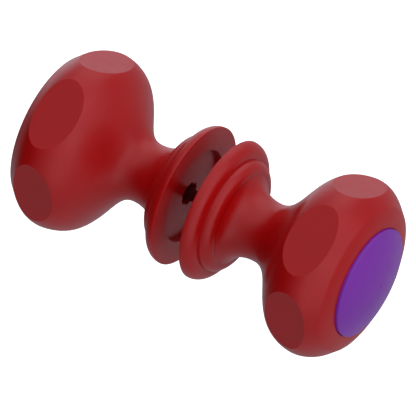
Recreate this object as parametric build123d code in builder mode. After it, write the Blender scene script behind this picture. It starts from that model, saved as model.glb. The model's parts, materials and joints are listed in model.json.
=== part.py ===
from build123d import *
import os
from math import cos, radians, sin

# A pair of turning knobs for a door or cupboard panel, one each side, drawn together by one tie rod.
# Millimetres. X is the turning axis, +Z is up, and the origin is on the axis, midway between the roses.
# Each side's pieces are described by their distance out from the middle plane and their radius.

# The panel and the roses that lie against it
panel_thickness = 10.1
rose_radius = 23.5
rose_depth = 7.7
land_edge_round = 0.2
flange_depth = 4.3
flange_front_radius = 19.1
bead_radius = 18.9
bead_front_radius = 15.45
recess_radius = 15.7
recess_depth = 1.85

# The knob's outside
foot_radius = 15.2
neck_radius = 9.91
neck_out = 17.25
head_radius = 30.0
head_out = 42.25
head_end_out = 59.1
head_across_flats = 54.9

# The flare's curve leaves the foot towards a point this far out and in, and keeps level along the neck
foot_handle_out, foot_handle_in = 0.75, 2.9
flare_handle = 5.15
# The head's curve: points on the shoulder, as shares of the way out and up from neck to head,
# and points on the dome, as shares of the way out from head to end and of the head's radius.
# The dome stops at the brow, with this lean, and a flatter arc leads in to the end cap.
shoulder_points = (0.247, 0.141), (0.517, 0.605), (0.698, 0.870)
dome_points = (0.340, 0.951), (0.596, 0.829)
brow_point = (0.662, 0.770)
brow_lean = 23.4

# The domed cap let into the head's end, which stands a little above it, and the pocket behind it
cap_radius = 18.2
cap_seat_out = 52.45
cap_rise = 3.55
cap_stand = 0.95
cap_edge_round = 0.4
face_bevel = 0.15
cap_skirt_wall = 1.2
cap_skirt_length = 5.0
pocket_radius = 8.0
pocket_floor_out = 37.85

# The hub that turns in the rose, and the plate that holds it there
hub_radius = 10.5
plate_thickness = 2.0
boss_radius = 7.0
boss_length = 3.4
bush_wall = 1.5
friction_washer_radius = 14.5
friction_washer_thickness = 0.65
thrust_washer_radius = 13.4
thrust_washer_thickness = 0.6

# The socket in the plate and the knob, for the end of a latch's hollow spindle, and its two keys
socket_radius = 4.0
socket_depth = 14.0
key_width = 1.3
key_depth = 0.5
key_angle = 45

# The tie rod, and the fastenings at its ends
rod_radius = 1.95
rod_end_chamfer = 0.4
adjustment = 8.0
flat_washer_radius = 4.5
flat_washer_thickness = 0.8
lock_washer_radius = 3.8
lock_washer_thickness = 0.9
lock_washer_split = 0.7
nut_across_flats = 7.0
nut_height = 3.2
nut_chamfer = 0.4
rod_past_nut = 1.2

# Clearances
running_clearance = 0.05
end_play = 0.06
foot_gap = 0.06
seam = 0.1

# Distances out from the middle plane
land_out = panel_thickness / 2
rose_front = land_out + rose_depth
flange_front = land_out + flange_depth
plate_face = land_out + recess_depth
plate_back = plate_face + plate_thickness
web_back = plate_back + friction_washer_thickness + end_play
foot = rose_front + foot_gap
thrust_floor = foot - end_play - thrust_washer_thickness
neck = land_out + neck_out
head = land_out + head_out
head_end = land_out + head_end_out
cap_seat = land_out + cap_seat_out
pocket_floor = land_out + pocket_floor_out
lock_washer_start = pocket_floor + flat_washer_thickness
nut_start = lock_washer_start + lock_washer_thickness
nut_end = nut_start + nut_height
left_rod_end = nut_end + rod_past_nut
right_rod_end = nut_end + adjustment + rod_past_nut

# The end cap's bore, its rim and its dome, and the head's face round it
cap_bore = cap_radius + seam
cap_rim = head_end - cap_rise
cap_sphere_radius = (cap_rise**2 + cap_radius**2) / (2 * cap_rise)
face = cap_rim - cap_stand
face_radius = cap_bore + face_bevel
skirt_radius = pocket_radius - running_clearance
skirt_end = cap_seat - cap_skirt_length

# Bores that follow what turns or sits in them
rod_bore = rod_radius + running_clearance
plate_radius = recess_radius - running_clearance
bush_bore = hub_radius + running_clearance
bush_radius = bush_bore + bush_wall

sides = {"left": -1, "right": 1}


def washer(side, start, thickness, inner, outer):
    """A plain ring around the axis, from start outwards."""
    with BuildPart() as ring:
        with BuildSketch(Plane.YZ.offset(side * start)):
            Circle(outer)
            Circle(inner, mode=Mode.SUBTRACT)
        extrude(amount=side * thickness)
    return ring


def outer_form(side, inner_out, inner_radius):
    """The turned outside of a knob, from its inner end to the face of its head."""
    shoulder = [
        (side * (neck + out * (head - neck)), neck_radius + up * (head_radius - neck_radius))
        for out, up in shoulder_points
    ]
    dome = [(side * (head + out * (head_end - head)), share * head_radius) for out, share in dome_points]
    brow = (side * (head + brow_point[0] * (head_end - head)), brow_point[1] * head_radius)
    lean = radians(brow_lean)
    brow_slope = (side * sin(lean), -cos(lean))
    with BuildPart() as form:
        with BuildSketch(Plane.XZ):
            with BuildLine():
                Polyline(
                    (side * inner_out, 0),
                    (side * inner_out, inner_radius),
                    (side * foot, inner_radius),
                    (side * foot, foot_radius),
                )
                Bezier(
                    (side * foot, foot_radius),
                    (side * (foot + foot_handle_out), foot_radius - foot_handle_in),
                    (side * (neck - flare_handle), neck_radius),
                    (side * neck, neck_radius),
                )
                Spline(
                    (side * neck, neck_radius),
                    *shoulder,
                    (side * head, head_radius),
                    *dome,
                    brow,
                    tangents=[(side, 0), brow_slope],
                )
                TangentArc(brow, (side * face, face_radius), tangent=brow_slope)
                Polyline((side * face, face_radius), (side * face, 0), (side * inner_out, 0))
            make_face()
        revolve(axis=Axis.X)
    return form


def make_rose(side):
    """A round plate with a rounded flange, a smaller rounded bead in front, and a recessed back."""
    with BuildPart() as rose:
        with BuildSketch(Plane.XZ):
            with BuildLine():
                Polyline(
                    (side * web_back, bush_radius),
                    (side * web_back, recess_radius),
                    (side * land_out, recess_radius),
                    (side * land_out, rose_radius - land_edge_round),
                )
                RadiusArc(
                    (side * land_out, rose_radius - land_edge_round),
                    (side * (land_out + land_edge_round), rose_radius),
                    side * land_edge_round,
                )
                TangentArc(
                    (side * (land_out + land_edge_round), rose_radius),
                    (side * flange_front, flange_front_radius),
                    tangent=(side, 0),
                )
                Line((side * flange_front, flange_front_radius), (side * flange_front, bead_radius))
                TangentArc(
                    (side * flange_front, bead_radius),
                    (side * rose_front, bead_front_radius),
                    tangent=(side, 0),
                )
                Polyline(
                    (side * rose_front, bead_front_radius),
                    (side * rose_front, thrust_washer_radius),
                    (side * thrust_floor, thrust_washer_radius),
                    (side * thrust_floor, bush_radius),
                    (side * web_back, bush_radius),
                )
            make_face()
        revolve(axis=Axis.X)
    return rose


def make_knob(side):
    """A six-sided rounded head on a slender neck, with a hub behind its flared foot."""
    with BuildPart() as knob:
        add(outer_form(side, plate_back, hub_radius))
        with BuildSketch(Plane.YZ.offset(side * plate_back)):
            RegularPolygon(head_across_flats / 2, 6, major_radius=False, rotation=30)
        extrude(amount=side * (face - plate_back), mode=Mode.INTERSECT)
        with BuildSketch(Plane.XZ):
            with BuildLine():
                Polyline(
                    (side * cap_seat, 0),
                    (side * cap_seat, cap_bore),
                    (side * (face - face_bevel), cap_bore),
                    (side * face, face_radius),
                    (side * face, 0),
                    close=True,
                )
            make_face()
        revolve(axis=Axis.X, mode=Mode.SUBTRACT)
        with BuildSketch(Plane.YZ.offset(side * pocket_floor)):
            Circle(pocket_radius)
        extrude(amount=side * (cap_seat - pocket_floor), mode=Mode.SUBTRACT)
        with BuildSketch(Plane.YZ.offset(side * plate_back)):
            Circle(rod_bore)
        extrude(amount=side * (pocket_floor - plate_back), mode=Mode.SUBTRACT)
        with BuildSketch(Plane.YZ.offset(side * plate_back)):
            Circle(socket_radius)
        extrude(amount=side * (socket_depth - plate_thickness), mode=Mode.SUBTRACT)
        with BuildSketch(Plane.YZ.offset(side * plate_back)):
            Circle(boss_radius)
        extrude(amount=side * (boss_length + running_clearance), mode=Mode.SUBTRACT)
    return knob


def make_end_cap(side):
    """A domed cap let into the head's end, with a skirt that snaps into the pocket."""
    rim = (side * cap_rim, cap_radius)
    with BuildPart() as cap:
        with BuildSketch(Plane.XZ) as section:
            with BuildLine():
                RadiusArc(rim, (side * head_end, 0), side * cap_sphere_radius)
                Polyline(
                    (side * head_end, 0),
                    (side * cap_seat, 0),
                    (side * cap_seat, skirt_radius - cap_skirt_wall),
                    (side * skirt_end, skirt_radius - cap_skirt_wall),
                    (side * skirt_end, skirt_radius),
                    (side * cap_seat, skirt_radius),
                    (side * cap_seat, cap_radius),
                    rim,
                )
            make_face()
            fillet(section.vertices().sort_by_distance(rim)[0], cap_edge_round)
        revolve(axis=Axis.X)
    return cap


def make_drive_plate(side):
    """The disc that closes the rose's recess: its boss fits the hub, and two keys stand in its socket."""
    with BuildPart() as plate:
        with BuildSketch(Plane.YZ.offset(side * plate_face)):
            Circle(plate_radius)
        extrude(amount=side * plate_thickness)
        with BuildSketch(Plane.YZ.offset(side * plate_back)):
            Circle(boss_radius)
        extrude(amount=side * boss_length)
        with BuildSketch(Plane.YZ.offset(side * plate_face)):
            Circle(socket_radius)
            with PolarLocations(socket_radius, 2, start_angle=key_angle):
                Rectangle(2 * key_depth, key_width, mode=Mode.SUBTRACT)
        extrude(amount=side * (plate_thickness + boss_length), mode=Mode.SUBTRACT)
    return plate


def make_lock_washer(side):
    """A split ring."""
    with BuildPart() as ring:
        with BuildSketch(Plane.YZ.offset(side * lock_washer_start)):
            Circle(lock_washer_radius)
            Circle(rod_bore, mode=Mode.SUBTRACT)
            with Locations((0, lock_washer_radius)):
                Rectangle(lock_washer_split, 2 * lock_washer_radius - rod_bore, mode=Mode.SUBTRACT)
        extrude(amount=side * lock_washer_thickness)
    return ring


def make_nut(side):
    """A six-sided nut with both ends of its bore chamfered."""
    with BuildPart() as nut:
        with BuildSketch(Plane.YZ.offset(side * nut_start)):
            RegularPolygon(nut_across_flats / 2, 6, major_radius=False)
            Circle(rod_bore, mode=Mode.SUBTRACT)
        extrude(amount=side * nut_height)
        chamfer(nut.edges().filter_by(GeomType.CIRCLE), nut_chamfer)
    return nut


def make_tie_rod():
    """A slender rod, threaded at both ends, right through both knobs."""
    with BuildPart() as rod:
        with BuildSketch(Plane.YZ.offset(-left_rod_end)):
            Circle(rod_radius)
        extrude(amount=left_rod_end + right_rod_end)
        chamfer(rod.edges().filter_by(GeomType.CIRCLE), rod_end_chamfer)
    return rod


def side_pieces(side):
    """Every piece of one side, by name."""
    return {
        "rose": make_rose(side),
        "bush": washer(side, web_back, thrust_floor - web_back, bush_bore, bush_radius),
        "thrust_washer": washer(
            side, thrust_floor, thrust_washer_thickness, bush_bore, thrust_washer_radius
        ),
        "drive_plate": make_drive_plate(side),
        "friction_washer": washer(
            side, plate_back, friction_washer_thickness, bush_bore, friction_washer_radius
        ),
        "knob": make_knob(side),
        "flat_washer": washer(
            side, pocket_floor, flat_washer_thickness, rod_bore, flat_washer_radius
        ),
        "lock_washer": make_lock_washer(side),
        "nut": make_nut(side),
        "end_cap": make_end_cap(side),
    }


pieces = {"tie_rod": make_tie_rod()}
for side_name, side in sides.items():
    for piece_name, piece in side_pieces(side).items():
        pieces[f"{side_name}_{piece_name}"] = piece

os.makedirs("parts", exist_ok=True)
for name, piece in pieces.items():
    piece.part.label = name
    export_step(piece.part, f"parts/{name}.step")
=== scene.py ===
import json
import math

import bpy
from mathutils import Matrix, Quaternion, Vector

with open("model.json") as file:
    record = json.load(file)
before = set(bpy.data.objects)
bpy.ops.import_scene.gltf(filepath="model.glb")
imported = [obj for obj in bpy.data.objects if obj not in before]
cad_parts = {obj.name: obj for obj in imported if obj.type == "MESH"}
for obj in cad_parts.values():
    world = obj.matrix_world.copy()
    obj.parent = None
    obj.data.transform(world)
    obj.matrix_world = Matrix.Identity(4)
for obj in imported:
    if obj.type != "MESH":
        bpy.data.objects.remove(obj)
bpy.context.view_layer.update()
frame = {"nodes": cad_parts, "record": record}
nodes = frame["nodes"]


# ---------------------------------------------------------------- materials

# Noise scales are in waves per metre, and the depth of the grain is in metres
PLASTIC_FLOW = 90.0
PLASTIC_SKIN = 250.0
PLASTIC_GRAIN = 4500.0
METAL_MOTTLE = 400.0
METAL_SKIN = 1500.0
METAL_GRAIN = 6000.0
LACQUER_MOTTLE = 500.0
LACQUER_SKIN = 1800.0
LACQUER_GRAIN = 5000.0
GRAIN_DEPTH = 0.00001


def new_material(name):
    """An empty node material and its shader."""
    material = bpy.data.materials.new(name)
    material.use_nodes = True
    tree = material.node_tree
    shader = tree.nodes["Principled BSDF"]
    return material, tree, shader


def noise(tree, scale, detail=3.0):
    """A noise texture in the object's own space."""
    place = tree.nodes.new("ShaderNodeTexCoord")
    texture = tree.nodes.new("ShaderNodeTexNoise")
    texture.inputs["Scale"].default_value = scale
    texture.inputs["Detail"].default_value = detail
    tree.links.new(place.outputs["Object"], texture.inputs["Vector"])
    return texture.outputs["Fac"]


def spread(tree, value, low, high):
    """Turns noise around 0.5 into a value from low to high."""
    ramp = tree.nodes.new("ShaderNodeMapRange")
    ramp.inputs["From Min"].default_value = 0.3
    ramp.inputs["From Max"].default_value = 0.7
    ramp.inputs["To Min"].default_value = low
    ramp.inputs["To Max"].default_value = high
    tree.links.new(value, ramp.inputs["Value"])
    return ramp.outputs["Result"]


def mix_colours(tree, value, first, second):
    """A colour between two, by value."""
    mix = tree.nodes.new("ShaderNodeMix")
    mix.data_type = "RGBA"
    mix.inputs["A"].default_value = (*first, 1)
    mix.inputs["B"].default_value = (*second, 1)
    tree.links.new(value, mix.inputs["Factor"])
    return mix.outputs["Result"]


def bump(tree, shader, value, depth, strength):
    """Presses value into the surface, to this depth."""
    node = tree.nodes.new("ShaderNodeBump")
    node.inputs["Distance"].default_value = depth
    node.inputs["Strength"].default_value = strength
    tree.links.new(value, node.inputs["Height"])
    tree.links.new(node.outputs["Normal"], shader.inputs["Normal"])


def moulded_plastic(name, colour, darker, roughness):
    """Moulded plastic, coloured through: a faint flow mottle, a satin skin and a fine moulded grain."""
    material, tree, shader = new_material(name)
    flow = spread(tree, noise(tree, PLASTIC_FLOW, 2.0), 0.0, 1.0)
    tree.links.new(mix_colours(tree, flow, colour, darker), shader.inputs["Base Color"])
    skin = spread(tree, noise(tree, PLASTIC_SKIN, 1.0), roughness - 0.03, roughness + 0.03)
    tree.links.new(skin, shader.inputs["Roughness"])
    shader.inputs["IOR"].default_value = 1.5
    bump(tree, shader, noise(tree, PLASTIC_GRAIN, 2.0), GRAIN_DEPTH, 0.25)
    return material


def metal(name, colour, darker, roughness):
    """Plated steel hardware, with a mottle and a fine grain."""
    material, tree, shader = new_material(name)
    mottle = spread(tree, noise(tree, METAL_MOTTLE), 0.0, 1.0)
    tree.links.new(mix_colours(tree, mottle, colour, darker), shader.inputs["Base Color"])
    shader.inputs["Metallic"].default_value = 1.0
    skin = spread(tree, noise(tree, METAL_SKIN), roughness - 0.08, roughness + 0.08)
    tree.links.new(skin, shader.inputs["Roughness"])
    bump(tree, shader, noise(tree, METAL_GRAIN), GRAIN_DEPTH, 0.3)
    return material


def lacquered_steel(name, colour, darker, roughness):
    """Matt lacquer over steel, with a faint mottle and a fine grain."""
    material, tree, shader = new_material(name)
    mottle = spread(tree, noise(tree, LACQUER_MOTTLE), 0.0, 1.0)
    tree.links.new(mix_colours(tree, mottle, colour, darker), shader.inputs["Base Color"])
    skin = spread(tree, noise(tree, LACQUER_SKIN), roughness - 0.06, roughness + 0.06)
    tree.links.new(skin, shader.inputs["Roughness"])
    shader.inputs["Specular IOR Level"].default_value = 0.15
    bump(tree, shader, noise(tree, LACQUER_GRAIN), GRAIN_DEPTH, 0.3)
    return material


materials = {
    "red_plastic": moulded_plastic("red_plastic", (0.555, 0.001, 0.0012), (0.515, 0.001, 0.0012), 0.31),
    "purple_plastic": moulded_plastic("purple_plastic", (0.28, 0.030, 0.51), (0.26, 0.026, 0.48), 0.32),
    # The tie rod's near-black red with low gloss is painted shade: it stands in for the shade inside the
    # knob's hole, where the rod shows.
    "dark_red_steel": lacquered_steel("dark_red_steel", (0.075, 0.001, 0.001), (0.060, 0.001, 0.001), 0.60),
    "zinc_steel": metal("zinc_steel", (0.60, 0.61, 0.63), (0.50, 0.51, 0.53), 0.35),
    "black_nylon": moulded_plastic("black_nylon", (0.02, 0.02, 0.02), (0.015, 0.015, 0.015), 0.55),
}

for part in frame["record"]["subparts"]:
    for slot in nodes[part["node"]].material_slots:
        slot.material = materials[part["material_slot"]]


# ---------------------------------------------------------------- camera

# The view's direction, its width at the object, and how far its middle is from the origin, in metres
VIEW_AZIMUTH = math.radians(34.06)
VIEW_ELEVATION = math.radians(46.93)
VIEW_ROLL = math.radians(0.13)
VIEW_WIDTH = 0.12932
VIEW_DISTANCE = 2.65
SENSOR = 36.0
AIM_RIGHT = 0.00013
AIM_DOWN = 0.001637

back = Vector(
    (
        math.sin(VIEW_AZIMUTH) * math.cos(VIEW_ELEVATION),
        -math.cos(VIEW_AZIMUTH) * math.cos(VIEW_ELEVATION),
        math.sin(VIEW_ELEVATION),
    )
)
level_right = Vector((math.cos(VIEW_AZIMUTH), math.sin(VIEW_AZIMUTH), 0))
turn = Quaternion(back, VIEW_ROLL)
right = turn @ level_right
up = back.cross(right)
camera = bpy.data.objects.new("camera", bpy.data.cameras.new("camera"))
bpy.context.collection.objects.link(camera)
camera.data.lens = SENSOR * VIEW_DISTANCE / VIEW_WIDTH
camera.data.sensor_width = SENSOR
camera.data.clip_start = 0.01
camera.data.clip_end = 100.0
camera.location = AIM_RIGHT * right - AIM_DOWN * up + back * VIEW_DISTANCE
camera.rotation_mode = "QUATERNION"
camera.rotation_quaternion = Matrix((right, up, back)).transposed().to_quaternion()
bpy.context.scene.camera = camera


# ---------------------------------------------------------------- floor and light

FLOOR_Z = -0.09
FLOOR_HALF = 3.0

# The level of the studio's grey walls, which the soft boxes add to
WALLS = 0.34
SKY_COLOUR = (1, 1, 1.1, 1)


def make_floor():
    """A wide, plain, near white floor, which neither lights the object nor shows in its gloss."""
    mesh = bpy.data.meshes.new("floor")
    corners = [(-1, -1), (1, -1), (1, 1), (-1, 1)]
    mesh.from_pydata([(x * FLOOR_HALF, y * FLOOR_HALF, FLOOR_Z) for x, y in corners], [], [(0, 1, 2, 3)])
    floor = bpy.data.objects.new("floor", mesh)
    bpy.context.collection.objects.link(floor)
    material, tree, shader = new_material("floor_white")
    shader.inputs["Base Color"].default_value = (0.9, 0.9, 0.9, 1)
    shader.inputs["Roughness"].default_value = 0.9
    shader.inputs["Specular IOR Level"].default_value = 0.0
    shader.inputs["Emission Color"].default_value = (1, 1, 1, 1)
    shader.inputs["Emission Strength"].default_value = 0.85
    mesh.materials.append(material)
    floor.visible_diffuse = False
    floor.visible_glossy = False


make_floor()


def direction(azimuth, elevation):
    """The unit vector at these degrees round from +X and up from the horizon."""
    flat = math.cos(math.radians(elevation))
    turn = math.radians(azimuth)
    return flat * math.cos(turn), flat * math.sin(turn), math.sin(math.radians(elevation))


def arithmetic(tree, operation, first, second):
    """One math node, which takes outputs or numbers."""
    node = tree.nodes.new("ShaderNodeMath")
    node.operation = operation
    for socket, value in zip(node.inputs, (first, second)):
        if isinstance(value, (int, float)):
            socket.default_value = value
        else:
            tree.links.new(value, socket)
    return node.outputs["Value"]


def patch_of_sky(tree, place, towards, inner, outer, strength):
    """A soft patch around a direction: full strength to inner degrees away, none beyond outer."""
    dot = tree.nodes.new("ShaderNodeVectorMath")
    dot.operation = "DOT_PRODUCT"
    dot.inputs[1].default_value = towards
    tree.links.new(place, dot.inputs[0])
    edge = tree.nodes.new("ShaderNodeMapRange")
    edge.interpolation_type = "SMOOTHSTEP"
    edge.inputs["From Min"].default_value = math.cos(math.radians(outer))
    edge.inputs["From Max"].default_value = math.cos(math.radians(inner))
    edge.inputs["To Max"].default_value = strength
    tree.links.new(dot.outputs["Value"], edge.inputs["Value"])
    return edge.outputs["Result"]


def make_world():
    """A grey studio: light overhead, soft boxes round the sides, and a dark side towards -X."""
    world = bpy.data.worlds.new("studio")
    bpy.context.scene.world = world
    world.use_nodes = True
    tree = world.node_tree
    background = tree.nodes["Background"]
    place = tree.nodes.new("ShaderNodeTexCoord").outputs["Generated"]
    overhead = patch_of_sky(tree, place, (0, 0, 1), 0, 68, 0.37)
    patches = [
        patch_of_sky(tree, place, direction(-40, 5), 12, 42, 0.40),
        patch_of_sky(tree, place, direction(2, 32), 12, 42, 0.42),
        patch_of_sky(tree, place, direction(98, 36), 10, 34, 0.45),
        patch_of_sky(tree, place, direction(138, -4), 12, 38, 0.50),
        patch_of_sky(tree, place, direction(130, 50), 10, 75, 0.09),
    ]
    dark_side = patch_of_sky(tree, place, direction(-150, 8), 15, 68, 0.92)
    level = arithmetic(tree, "ADD", overhead, WALLS)
    for patch in patches:
        level = arithmetic(tree, "ADD", level, patch)
    level = arithmetic(tree, "MULTIPLY", level, arithmetic(tree, "SUBTRACT", 1.0, dark_side))
    tree.links.new(level, background.inputs["Strength"])
    background.inputs["Color"].default_value = SKY_COLOUR


make_world()

bpy.context.scene.view_settings.view_transform = "Standard"
